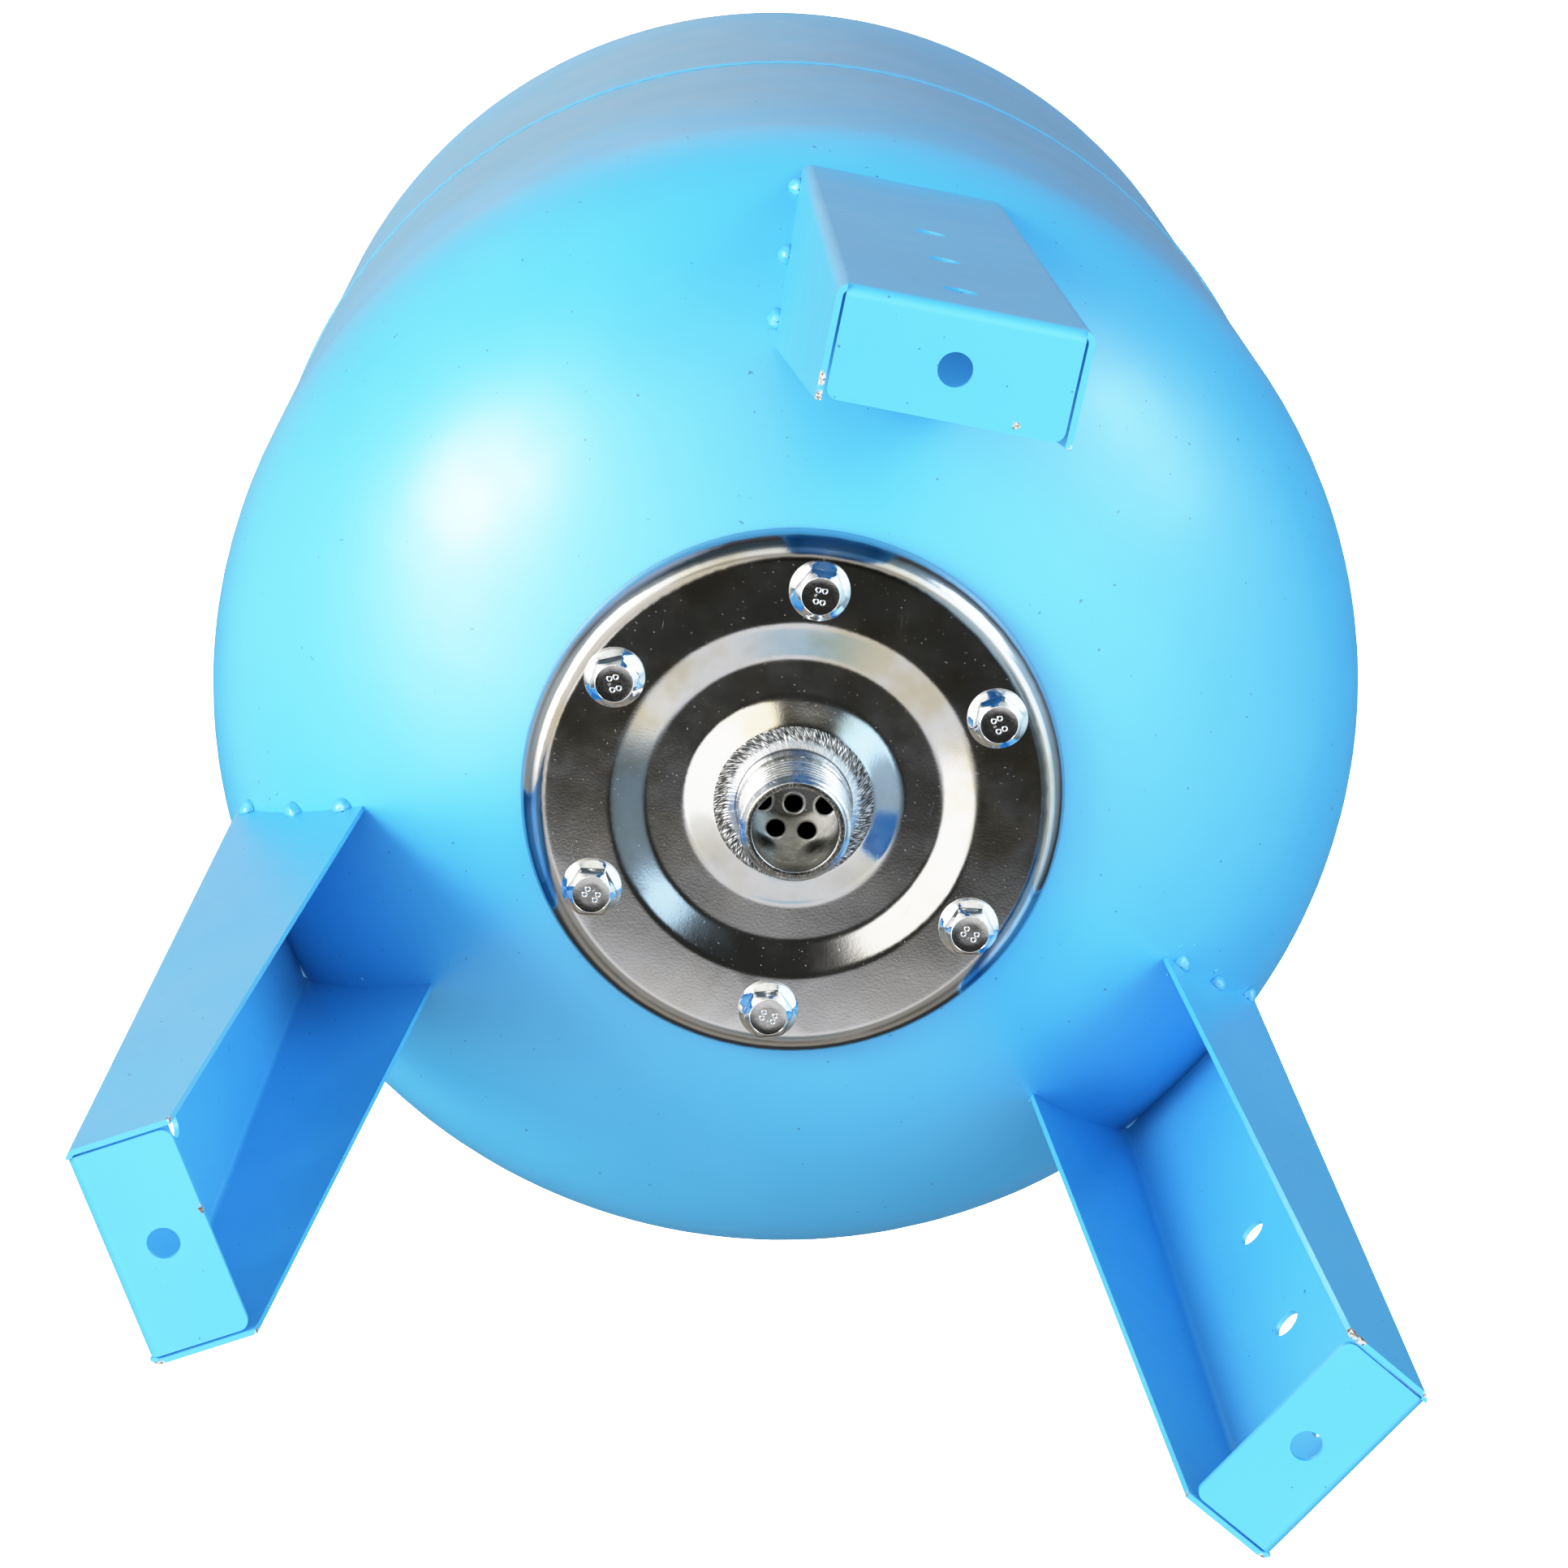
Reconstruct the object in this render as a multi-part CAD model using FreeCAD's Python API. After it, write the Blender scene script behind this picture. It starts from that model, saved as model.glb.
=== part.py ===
import FreeCAD, Part
import math
import os

# Upright bladder pressure tank on three channel legs, with its water connection underneath.
# Millimetres, +Z up. The origin is on the floor, on the tank's axis. Leg 1 stands towards -Y.

os.makedirs("parts", exist_ok=True)

# Tank body
shell_radius = 183.6
shell_wall = 1.5
head_depth = 113.5
cylinder_length = 308.7
girth_weld_width = 4.0
girth_weld_height = 0.8

# Counterflange, one pressed sheet
flange_height = 191.0
flange_wall = 2.5
flange_radius = 80.7
flange_rim_bend = 5.5
skirt_height = 10.5
skirt_gap = 0.3
groove_outer_radius = 54.1
groove_outer_width = 10.1
groove_depth = 2.0
boss_radius = 23.1
boss_slope_width = 9.0
boss_rise = 0.3
press_bend = 9.0
grille_hole_radius = 2.75
grille_circle_radius = 9.25
grille_hole_count = 6
grille_first_angle = -6.5

# Flange bolts, M8 with a collar
bolt_count = 6
bolt_circle_radius = 65.0
bolt_first_angle = -94.8
bolt_shank_radius = 4.0
bolt_length = 16.0
bolt_hole_clearance = 0.5
bolt_thread_clearance = 0.05
bolt_collar_radius = 8.95
bolt_collar_edge = 1.2
bolt_collar_rise = 0.7
bolt_hex_across = 13.0
bolt_head_height = 7.0
bolt_crown_radius = 5.5
bolt_crown_chamfer = 1.2
bolt_turns = [29.0, 0.0, 22.0, 13.0, 22.0, 6.0]

# Welded neck ring that takes the bolts
ring_skirt_gap = 2.2
ring_bore_radius = 54.7
ring_depth = 15.0
ring_face_gap = 0.2
ring_edge_clearance = 0.3
lip_recess_margin = 0.5
bolt_to_lip_margin = 0.5

# Rubber bladder
bladder_wall = 2.5
bladder_neck_clearance = 0.4
bladder_bag_radius = 125.0
bladder_height = 400.0
bladder_neck_length = 12.0
bladder_shoulder_rise = 90.0
bladder_lip_bend = 1.2
bladder_neck_bend = 30.0
bladder_shoulder_bend = 80.0
bladder_crown_bend = 105.0

# Threaded connection nipple, 1 inch
nipple_length = 26.0
nipple_thread_radius = 16.62
nipple_base_radius = 17.1
nipple_base_length = 6.5
nipple_runout = 1.5
nipple_end_radius = 14.1
nipple_end_chamfer = 2.5
nipple_bore_radius = 12.5
nipple_mouth_chamfer = 0.4
nipple_weld_height = 1.6
nipple_weld_width = 6.9
nipple_weld_root = 0.25

# Legs, bent from one sheet each
leg_count = 3
leg_first_angle = -90.0
leg_wall = 1.5
leg_width = 62.0
leg_bend = 1.6
leg_top_inset = 9.6
leg_top_depth = 47.5
foot_spread = 11.9
foot_flange_depth = 28.4
web_top_seat = 0.4
tab_depth = 27.6
tab_slit = 0.7
tab_corner_radius = 3.0
tab_bend_zone = 8.0
foot_hole_radius = 4.25
foot_hole_inset = 15.1
web_hole_radius = 4.25
web_hole_first_height = 29.0
web_hole_spacing = 58.0
web_hole_count = 3
tack_radius = 3.3
tack_first_share = 0.14
tack_count = 3

# Air valve on the crown
valve_boss_radius = 9.0
valve_boss_rise = 5.0
valve_boss_reach = 4.0
valve_shank_radius = 5.0
valve_thread_clearance = 0.05
valve_seal_thickness = 1.0
valve_seal_radius = 7.6
valve_hex_across = 15.0
valve_hex_height = 5.0
stem_radius = 3.85
stem_length = 16.0
stem_bore_radius = 2.6
poppet_floor_clearance = 0.3
stem_air_radius = 1.8
core_radius = 2.55
core_length = 11.0
core_sink = 1.0
core_chamber_radius = 1.6
core_floor = 1.5
core_roof = 1.0
pin_radius = 0.75
pin_guide_clearance = 0.1
pin_travel = 1.5
pin_sink = 0.2
pin_collar_radius = 1.4
pin_collar_thickness = 1.0
pin_collar_gap = 0.5
pin_poppet_radius = 1.5
pin_poppet_thickness = 1.2
spring_wire_radius = 0.15
spring_coil_radius = 1.15
spring_turns = 6
cap_radius = 6.0
cap_bore_clearance = 0.1
cap_seat_gap = 0.3
cap_foot_gap = 0.5
cap_roof = 1.6
cap_edge_chamfer = 0.6
cap_flute_count = 18
cap_flute_radius = 0.7
cap_flute_bite = 0.35

# Heights that follow from the sizes above
flange_back = flange_height + flange_wall
skirt_inner_radius = flange_radius - flange_wall
skirt_end = flange_height + skirt_height
ring_radius = skirt_inner_radius - ring_skirt_gap


def head_dip(radius):
    # Depth of the dished head below its tangent line at a given radius
    return head_depth * math.sqrt(1.0 - (radius / shell_radius) ** 2)


lower_tangent = skirt_end + skirt_gap + head_dip(skirt_inner_radius)
girth_height = lower_tangent + cylinder_length / 2.0
crown_height = lower_tangent + cylinder_length + head_depth
boss_face = flange_height - boss_rise
nipple_end = flange_height - nipple_length
leg_top_radius = shell_radius - leg_top_inset
leg_top_inner_radius = leg_top_radius - leg_top_depth
foot_radius = leg_top_radius + foot_spread
foot_hole_circle_radius = foot_radius - foot_hole_inset
leg_top = lower_tangent - head_dip(leg_top_radius) + web_top_seat
leg_lean = (foot_radius - leg_top_radius) / leg_top


def vector(x, y, z):
    return FreeCAD.Vector(x, y, z)


def upright(r, z):
    return vector(r, 0.0, z)


def about_axis(face):
    return face.revolve(vector(0, 0, 0), vector(0, 0, 1), 360.0)


def outline(points, place=upright):
    corners = [place(a, b) for a, b in points]
    return Part.Face(Part.makePolygon(corners + corners[:1]))


def turned(points):
    # A solid of revolution from its half section
    return about_axis(outline(points))


def drill(radius, low, high, x=0.0, y=0.0):
    return Part.makeCylinder(radius, high - low, vector(x, y, low))


def on_circle(radius, angle):
    turn = math.radians(angle)
    return radius * math.cos(turn), radius * math.sin(turn)


def spread(count, first):
    # Even angles round a full turn
    return [first + 360.0 / count * k for k in range(count)]


def add_run(edges, start, end, place):
    if (end - start).Length > 1e-6:
        edges.append(Part.LineSegment(place(start.x, start.y), place(end.x, end.y)).toShape())


def add_bend(edges, start, middle, end, place):
    ends = [place(p.x, p.y) for p in (start, middle, end)]
    edges.append(Part.Arc(*ends).toShape())


def bent_sheet(points, bends, wall, place=upright):
    # Section of a sheet of even wall, to the left of a path, with the inside radius of each bend
    path = [vector(a, b, 0.0) for a, b in points]
    near_edges = []
    far_edges = []
    near = path[0]
    first = (path[1] - path[0]).normalize()
    far_start = path[0] + vector(-first.y, first.x, 0.0) * wall
    far = far_start
    for before, corner, after, bend in zip(path, path[1:], path[2:], bends):
        a = (corner - before).normalize()
        b = (after - corner).normalize()
        side = math.copysign(1.0, a.x * b.y - a.y * b.x)
        radius = bend + wall if side > 0 else bend
        reach = radius * math.tan(a.getAngle(b) / 2.0)
        left = vector(-a.y, a.x, 0.0)
        next_left = vector(-b.y, b.x, 0.0)
        start = corner - a * reach
        end = corner + b * reach
        centre = start + left * side * radius
        middle = (corner - centre).normalize()
        add_run(near_edges, near, start, place)
        add_bend(near_edges, start, centre + middle * radius, end, place)
        far_radius = radius - side * wall
        far_from = start + left * wall
        far_to = end + next_left * wall
        add_run(far_edges, far, far_from, place)
        add_bend(far_edges, far_from, centre + middle * far_radius, far_to, place)
        near = end
        far = far_to
    last = (path[-1] - path[-2]).normalize()
    far_end = path[-1] + vector(-last.y, last.x, 0.0) * wall
    add_run(near_edges, near, path[-1], place)
    add_run(far_edges, far, far_end, place)
    caps = []
    add_run(caps, path[0], far_start, place)
    add_run(caps, path[-1], far_end, place)
    edges = Part.__sortEdges__(near_edges + far_edges + caps)
    return Part.Face(Part.Wire(edges))


def hexagon(across, low, high):
    corners = [on_circle(across / math.sqrt(3.0), 60.0 * k) for k in range(7)]
    face = Part.Face(Part.makePolygon([vector(x, y, low) for x, y in corners]))
    return face.extrude(vector(0, 0, high - low))


# Tank shells


def half_body(radius, depth):
    # Solid lower half, from the middle of the cylinder down over the dished head
    centre = upright(0.0, lower_tangent)
    ellipse = Part.Ellipse(upright(radius, lower_tangent), upright(0.0, lower_tangent - depth), centre)
    head = Part.Arc(ellipse, 0.0, math.pi / 2.0).toShape()
    pole = upright(0.0, lower_tangent - depth)
    rim = upright(radius, girth_height)
    middle = upright(0.0, girth_height)
    sides = [
        Part.LineSegment(upright(radius, lower_tangent), rim).toShape(),
        Part.LineSegment(rim, middle).toShape(),
        Part.LineSegment(middle, pole).toShape(),
    ]
    wire = Part.Wire(Part.__sortEdges__([head] + sides))
    return about_axis(Part.Face(wire))


def half_shell():
    outer = half_body(shell_radius, head_depth)
    inner = half_body(shell_radius - shell_wall, head_depth - shell_wall)
    return outer.cut(inner)


def make_lower_shell():
    low = lower_tangent - head_depth
    return half_shell().cut(drill(ring_radius, low, lower_tangent))


def make_upper_shell():
    shell = half_shell().mirror(vector(0, 0, girth_height), vector(0, 0, 1))
    return shell.cut(drill(valve_boss_radius, girth_height, crown_height))


def make_girth_weld():
    half = girth_weld_width / 2.0
    low = upright(shell_radius, girth_height - half)
    high = upright(shell_radius, girth_height + half)
    bulge = upright(shell_radius + girth_weld_height, girth_height)
    edges = [Part.Arc(low, bulge, high).toShape(), Part.LineSegment(high, low).toShape()]
    return about_axis(Part.Face(Part.Wire(edges)))


# Neck ring, bladder and counterflange


bolt_hole_radius = bolt_shank_radius + bolt_hole_clearance
lip_radius = bolt_circle_radius - bolt_hole_radius - bolt_to_lip_margin
lip_top = flange_back + bladder_wall
ring_top = flange_back + ring_face_gap + ring_depth
bolt_angles = spread(bolt_count, bolt_first_angle)


def make_neck_ring():
    face = flange_back + ring_face_gap
    recess_radius = lip_radius + lip_recess_margin / 2.0
    lip_edge = bladder_lip_bend + ring_edge_clearance
    rim_edge = flange_rim_bend / 2.0
    ring = turned([
        (ring_bore_radius, lip_top + lip_edge),
        (ring_bore_radius + lip_edge, lip_top),
        (recess_radius, lip_top),
        (recess_radius, face),
        (ring_radius - rim_edge, face),
        (ring_radius, face + rim_edge),
        (ring_radius, ring_top),
        (ring_bore_radius, ring_top),
    ])
    for angle in bolt_angles:
        x, y = on_circle(bolt_circle_radius, angle)
        hole_radius = bolt_shank_radius + bolt_thread_clearance
        ring = ring.cut(drill(hole_radius, face, ring_top, x, y))
    return ring


def make_bladder():
    neck = ring_bore_radius - bladder_neck_clearance - bladder_wall
    top = ring_top + bladder_height
    neck_end = ring_top + bladder_neck_length
    shoulder = neck_end + bladder_shoulder_rise
    path = [
        (0.0, top),
        (bladder_bag_radius, top),
        (bladder_bag_radius, shoulder),
        (neck, neck_end),
        (neck, flange_back),
        (lip_radius, flange_back),
    ]
    bends = [bladder_crown_bend, bladder_shoulder_bend, bladder_neck_bend, bladder_lip_bend]
    return about_axis(bent_sheet(path, bends, bladder_wall))


def make_counterflange():
    groove_face = flange_height + groove_depth
    path = [
        (0.0, boss_face),
        (boss_radius, boss_face),
        (boss_radius + boss_slope_width, groove_face),
        (groove_outer_radius - groove_outer_width, groove_face),
        (groove_outer_radius, flange_height),
        (flange_radius, flange_height),
        (flange_radius, skirt_end),
    ]
    bends = [press_bend] * 4 + [flange_rim_bend]
    plate = about_axis(bent_sheet(path, bends, flange_wall))
    for angle in bolt_angles:
        x, y = on_circle(bolt_circle_radius, angle)
        plate = plate.cut(drill(bolt_hole_radius, flange_height, flange_back, x, y))
    grille = [(0.0, 0.0)]
    grille += [on_circle(grille_circle_radius, angle) for angle in spread(grille_hole_count, grille_first_angle)]
    for x, y in grille:
        plate = plate.cut(drill(grille_hole_radius, boss_face, boss_face + flange_wall, x, y))
    return plate


def make_nipple():
    thread_start = nipple_end + nipple_end_chamfer
    base_start = boss_face - nipple_base_length
    return turned([
        (nipple_bore_radius, boss_face),
        (nipple_bore_radius, nipple_end + nipple_mouth_chamfer),
        (nipple_bore_radius + nipple_mouth_chamfer, nipple_end),
        (nipple_end_radius, nipple_end),
        (nipple_thread_radius, thread_start),
        (nipple_thread_radius, base_start - nipple_runout),
        (nipple_base_radius, base_start),
        (nipple_base_radius, boss_face),
    ])


def make_nipple_weld():
    inner = nipple_base_radius
    root = boss_face + nipple_weld_root
    bead = turned([(inner, root), (inner + nipple_weld_width, root), (inner, boss_face - nipple_weld_height)])
    return bead.cut(make_counterflange())


def make_flange_bolt(angle, turn):
    x, y = on_circle(bolt_circle_radius, angle)
    under = flange_height
    top = under - bolt_head_height
    hex_corner = bolt_hex_across / math.sqrt(3.0)
    collar = turned([
        (0.0, under),
        (bolt_collar_radius, under),
        (bolt_collar_radius, under - bolt_collar_edge),
        (hex_corner, under - bolt_collar_edge - bolt_collar_rise),
        (0.0, under - bolt_collar_edge - bolt_collar_rise),
    ])
    crown = turned([
        (0.0, under),
        (hex_corner, under),
        (hex_corner, top + bolt_crown_chamfer),
        (bolt_crown_radius, top),
        (0.0, top),
    ])
    head = hexagon(bolt_hex_across, top, under).common(crown)
    shank = drill(bolt_shank_radius, under, under + bolt_length)
    bolt = collar.fuse([head, shank]).removeSplitter()
    bolt.rotate(vector(0, 0, 0), vector(0, 0, 1), turn)
    bolt.translate(vector(x, y, 0.0))
    return bolt


# Legs


def leg_plan(x, radius):
    return vector(x, -radius, 0.0)


def leg_side(radius, z):
    return vector(0.0, -radius, z)


def web_radius(z):
    return foot_radius - leg_lean * z


def make_leg(head_form):
    half = leg_width / 2.0
    deep = leg_top_inner_radius / 2.0
    path = [(half, deep), (half, foot_radius), (-half, foot_radius), (-half, deep)]
    blank = bent_sheet(path, [leg_bend, leg_bend], leg_wall, leg_plan)
    channel = blank.extrude(vector(0.0, leg_lean * leg_top, leg_top))
    inner_top = lower_tangent - head_dip(math.hypot(leg_top_inner_radius, half))
    side = outline([
        (foot_radius - foot_flange_depth, 0.0),
        (foot_radius + leg_wall, 0.0),
        (foot_radius + leg_wall, leg_top),
        (leg_top_inner_radius, leg_top),
        (leg_top_inner_radius, inner_top),
    ], leg_side)
    side.translate(vector(-half, 0.0, 0.0))
    channel = channel.common(side.extrude(vector(leg_width, 0.0, 0.0)))
    tab_half = half - leg_wall - tab_slit
    clear = Part.makeBox(2.0 * tab_half, foot_flange_depth, tab_bend_zone)
    clear.translate(vector(-tab_half, -foot_radius - leg_wall, 0.0))
    tab_path = [
        (foot_radius - tab_depth, 0.0),
        (foot_radius, 0.0),
        (web_radius(tab_bend_zone), tab_bend_zone),
    ]
    tab = bent_sheet(tab_path, [leg_bend], leg_wall, leg_side)
    tab.translate(vector(-tab_half, 0.0, 0.0))
    tab = round_tab_corners(tab.extrude(vector(2.0 * tab_half, 0.0, 0.0)), tab_half)
    leg = channel.cut(clear).fuse(tab)
    leg = leg.cut(drill(foot_hole_radius, 0.0, leg_wall, 0.0, -foot_hole_circle_radius))
    for k in range(web_hole_count):
        height = web_hole_first_height + web_hole_spacing * k
        start = vector(0.0, -foot_radius - leg_wall, height)
        leg = leg.cut(Part.makeCylinder(web_hole_radius, foot_flange_depth, start, vector(0, 1, 0)))
    return leg.removeSplitter().cut(head_form)


def round_tab_corners(tab, tab_half):
    inner = -(foot_radius - tab_depth)
    corners = [
        edge for edge in tab.Edges
        if edge.BoundBox.ZLength > leg_wall / 2.0
        and edge.BoundBox.YLength < 1e-6
        and abs(edge.BoundBox.YMax - inner) < 1e-6
        and abs(abs(edge.BoundBox.XMax) - tab_half) < 1e-6
    ]
    return tab.makeFillet(tab_corner_radius, corners)


def make_leg_welds(head_form):
    # Tack beads where the outside of each leg flange meets the head
    half = leg_width / 2.0
    span = leg_top_radius - leg_top_inner_radius
    step = (1.0 - 2.0 * tack_first_share) / (tack_count - 1)
    keep_right = Part.makeBox(leg_width, 2.0 * foot_radius, 2.0 * leg_top)
    keep_right.translate(vector(half, -2.0 * foot_radius, 0.0))
    beads = []
    for k in range(tack_count):
        radius = leg_top_inner_radius + span * (tack_first_share + step * k)
        height = lower_tangent - head_dip(math.hypot(radius, half))
        ball = Part.makeSphere(tack_radius, vector(half, -radius, height))
        bead = ball.common(keep_right).cut(head_form)
        beads += [bead, bead.mirror(vector(0, 0, 0), vector(1, 0, 0))]
    return Part.makeCompound(beads)


# Air valve


valve_seal_bottom = crown_height + valve_boss_rise
hex_bottom = valve_seal_bottom + valve_seal_thickness
hex_top = hex_bottom + valve_hex_height
stem_top = hex_top + stem_length
core_top = stem_top - core_sink
stem_bore_depth = core_sink + core_length + pin_poppet_thickness + pin_travel + poppet_floor_clearance
core_bottom = core_top - core_length
spring_seat = core_bottom + core_floor
pin_collar_top = core_top - core_roof - pin_collar_gap


def make_valve_boss():
    boss = drill(valve_boss_radius, crown_height - valve_boss_reach, valve_seal_bottom)
    bore = drill(valve_shank_radius + valve_thread_clearance, crown_height - valve_boss_reach, valve_seal_bottom)
    return boss.cut(bore)


def make_valve_seal():
    ring = drill(valve_seal_radius, valve_seal_bottom, hex_bottom)
    return ring.cut(drill(valve_shank_radius + valve_thread_clearance, valve_seal_bottom, hex_bottom))


def make_valve_stem():
    bottom = crown_height - valve_boss_reach - valve_seal_thickness
    shank = drill(valve_shank_radius, bottom, hex_bottom)
    body = hexagon(valve_hex_across, hex_bottom, hex_top)
    neck = drill(stem_radius, hex_top, stem_top)
    stem = body.fuse([shank, neck])
    stem = stem.cut(drill(stem_air_radius, bottom, stem_top))
    return stem.cut(drill(stem_bore_radius, stem_top - stem_bore_depth, stem_top))


def make_valve_core():
    guide = pin_radius + pin_guide_clearance
    core = drill(core_radius, core_bottom, core_top)
    core = core.cut(drill(guide, core_bottom, core_top))
    return core.cut(drill(core_chamber_radius, spring_seat, core_top - core_roof))


def make_valve_pin():
    poppet = drill(pin_poppet_radius, core_bottom - pin_poppet_thickness, core_bottom)
    collar = drill(pin_collar_radius, pin_collar_top - pin_collar_thickness, pin_collar_top)
    shaft = drill(pin_radius, core_bottom, stem_top - pin_sink)
    return shaft.fuse([poppet, collar])


def make_valve_spring():
    low = spring_seat + spring_wire_radius
    height = pin_collar_top - pin_collar_thickness - spring_wire_radius - low
    helix = Part.makeHelix(height / spring_turns, height, spring_coil_radius)
    section = Part.Circle(vector(spring_coil_radius, 0, 0), vector(0, 1, 0), spring_wire_radius)
    wire = Part.Wire([section.toShape()])
    spring = Part.Wire(helix.Edges).makePipeShell([wire], True, True)
    spring.translate(vector(0, 0, low))
    return spring


def make_valve_cap():
    low = hex_top + cap_foot_gap
    ceiling = stem_top + cap_seat_gap
    top = ceiling + cap_roof
    bore = stem_radius + cap_bore_clearance
    cap = turned([
        (bore, low),
        (cap_radius, low),
        (cap_radius, top - cap_edge_chamfer),
        (cap_radius - cap_edge_chamfer, top),
        (0.0, top),
        (0.0, ceiling),
        (bore, ceiling),
    ])
    for angle in spread(cap_flute_count, 0.0):
        x, y = on_circle(cap_radius + cap_flute_radius - cap_flute_bite, angle)
        cap = cap.cut(drill(cap_flute_radius, low, top, x, y))
    return cap


def write(name, shape):
    shape.exportStep("parts/" + name + ".step")


head_form = half_body(shell_radius, head_depth)

nodes = {
    "lower_shell": make_lower_shell(),
    "upper_shell": make_upper_shell(),
    "girth_weld": make_girth_weld(),
    "neck_ring": make_neck_ring(),
    "bladder": make_bladder(),
    "counterflange": make_counterflange(),
    "connection_nipple": make_nipple(),
    "nipple_weld": make_nipple_weld(),
    "valve_boss": make_valve_boss(),
    "valve_seal": make_valve_seal(),
    "valve_stem": make_valve_stem(),
    "valve_core": make_valve_core(),
    "valve_pin": make_valve_pin(),
    "valve_spring": make_valve_spring(),
    "valve_cap": make_valve_cap(),
}

for number, (angle, turn) in enumerate(zip(bolt_angles, bolt_turns), 1):
    nodes["flange_bolt_%d" % number] = make_flange_bolt(angle, turn)

first_leg = make_leg(head_form)
first_welds = make_leg_welds(head_form)
for number, angle in enumerate(spread(leg_count, leg_first_angle), 1):
    for name, shape in (("leg_%d", first_leg), ("leg_welds_%d", first_welds)):
        copy = shape.copy()
        copy.rotate(vector(0, 0, 0), vector(0, 0, 1), angle + 90.0)
        nodes[name % number] = copy

for name, shape in nodes.items():
    write(name, shape)
    print(name, len(shape.Solids), "solid", round(shape.Volume, 2), "mm3", "valid" if shape.isValid() else "NOT VALID")
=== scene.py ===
import bmesh
import bpy
import math
import random
from mathutils import Matrix, Vector, noise
from mathutils.bvhtree import BVHTree


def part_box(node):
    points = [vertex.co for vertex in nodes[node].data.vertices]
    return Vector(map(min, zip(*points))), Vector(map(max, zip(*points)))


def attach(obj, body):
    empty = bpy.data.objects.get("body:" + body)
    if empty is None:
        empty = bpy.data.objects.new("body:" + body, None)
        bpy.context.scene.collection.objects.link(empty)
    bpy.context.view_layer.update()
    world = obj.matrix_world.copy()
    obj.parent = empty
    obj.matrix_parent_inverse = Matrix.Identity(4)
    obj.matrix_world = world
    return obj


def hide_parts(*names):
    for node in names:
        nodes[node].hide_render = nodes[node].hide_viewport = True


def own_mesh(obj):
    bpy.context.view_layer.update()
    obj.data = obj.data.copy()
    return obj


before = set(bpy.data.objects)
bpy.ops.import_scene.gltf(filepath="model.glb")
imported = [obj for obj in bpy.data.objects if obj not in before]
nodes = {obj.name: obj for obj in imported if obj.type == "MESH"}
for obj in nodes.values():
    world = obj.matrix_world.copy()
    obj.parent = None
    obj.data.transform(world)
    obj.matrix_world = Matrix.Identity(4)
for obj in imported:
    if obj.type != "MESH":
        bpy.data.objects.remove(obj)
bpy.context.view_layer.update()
mm = 0.001
print("frame loaded,", len(nodes), "nodes")


# Material arithmetic

class Tap:  # one value or colour in a material
    def __init__(self, paint, socket):
        self.paint = paint
        self.socket = socket

    def math(self, operation, *values):
        return self.paint.node("ShaderNodeMath", {"operation": operation}, dict(enumerate(values)))

    def __add__(self, other):
        return self.math("ADD", self, other)

    def __radd__(self, other):
        return self.math("ADD", other, self)

    def __sub__(self, other):
        return self.math("SUBTRACT", self, other)

    def __rsub__(self, other):
        return self.math("SUBTRACT", other, self)

    def __mul__(self, other):
        return self.math("MULTIPLY", self, other)

    def __rmul__(self, other):
        return self.math("MULTIPLY", other, self)

    def power(self, exponent):
        return self.math("POWER", self, exponent)

    def bigger(self, other):
        return self.math("MAXIMUM", self, other)


class Paint:  # a node tree, with one way to add a node to it
    def __init__(self, holder):
        holder.use_nodes = True
        self.holder = holder
        self.tree = holder.node_tree
        self.tree.nodes.clear()

    def node(self, kind, settings=None, inputs=None, output=0):
        made = self.tree.nodes.new(kind)
        for key, value in (settings or {}).items():
            setattr(made, key, value)
        for key, value in (inputs or {}).items():
            if isinstance(value, Tap):
                self.tree.links.new(value.socket, made.inputs[key])
            else:
                made.inputs[key].default_value = value
        return Tap(self, made.outputs[output]) if len(made.outputs) else made

    def place(self):
        return self.node("ShaderNodeTexCoord", output=3)

    def parts(self, vector):
        split = self.node("ShaderNodeSeparateXYZ", inputs={0: vector})
        outs = split.socket.node.outputs
        return [Tap(self, outs[k]) for k in range(3)]

    def fromAxis(self, x, y):  # distance from the tank's axis
        return (x * x + y * y).power(0.5)

    def grain(self, size, detail=2.0, rough=0.5, where=None, stretch=None):
        where = where or self.place()
        if stretch:
            where = self.node("ShaderNodeVectorMath", {"operation": "MULTIPLY"}, {0: where, 1: stretch})
        return self.node("ShaderNodeTexNoise", inputs={
            "Vector": where, "Scale": 1.0 / size, "Detail": detail, "Roughness": rough})

    def spread(self, value, low, high, toLow=0.0, toHigh=1.0):  # smooth step between two values
        return self.node("ShaderNodeMapRange", {"interpolation_type": "SMOOTHSTEP"}, {
            "Value": value, "From Min": low, "From Max": high, "To Min": toLow, "To Max": toHigh})

    def band(self, value, low, high, rise, fall):  # 1 from low to high, with soft ends inside them
        return self.spread(value, low, low + rise) * self.spread(value, high, high - fall)

    def mix(self, factor, first, second, how="MIX"):
        return self.node("ShaderNodeMix", {"data_type": "RGBA", "blend_type": how, "clamp_result": False}, {
            0: factor, 6: first, 7: second}, output=2)

    def bump(self, height, distance, normal=None):
        inputs = {"Height": height, "Distance": distance, "Strength": 1.0}
        if normal:
            inputs["Normal"] = normal
        return self.node("ShaderNodeBump", inputs=inputs)

    def surface(self, **values):
        names = {key: key.replace("_", " ") for key in values}
        shader = self.node("ShaderNodeBsdfPrincipled", inputs={names[k]: v for k, v in values.items()})
        self.node("ShaderNodeOutputMaterial", inputs={"Surface": shader})
        return self.holder


def newPaint(name):
    return Paint(bpy.data.materials.new(name))


def rgb(r, g, b):
    return (r, g, b, 1.0)


# Finishes

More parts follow.
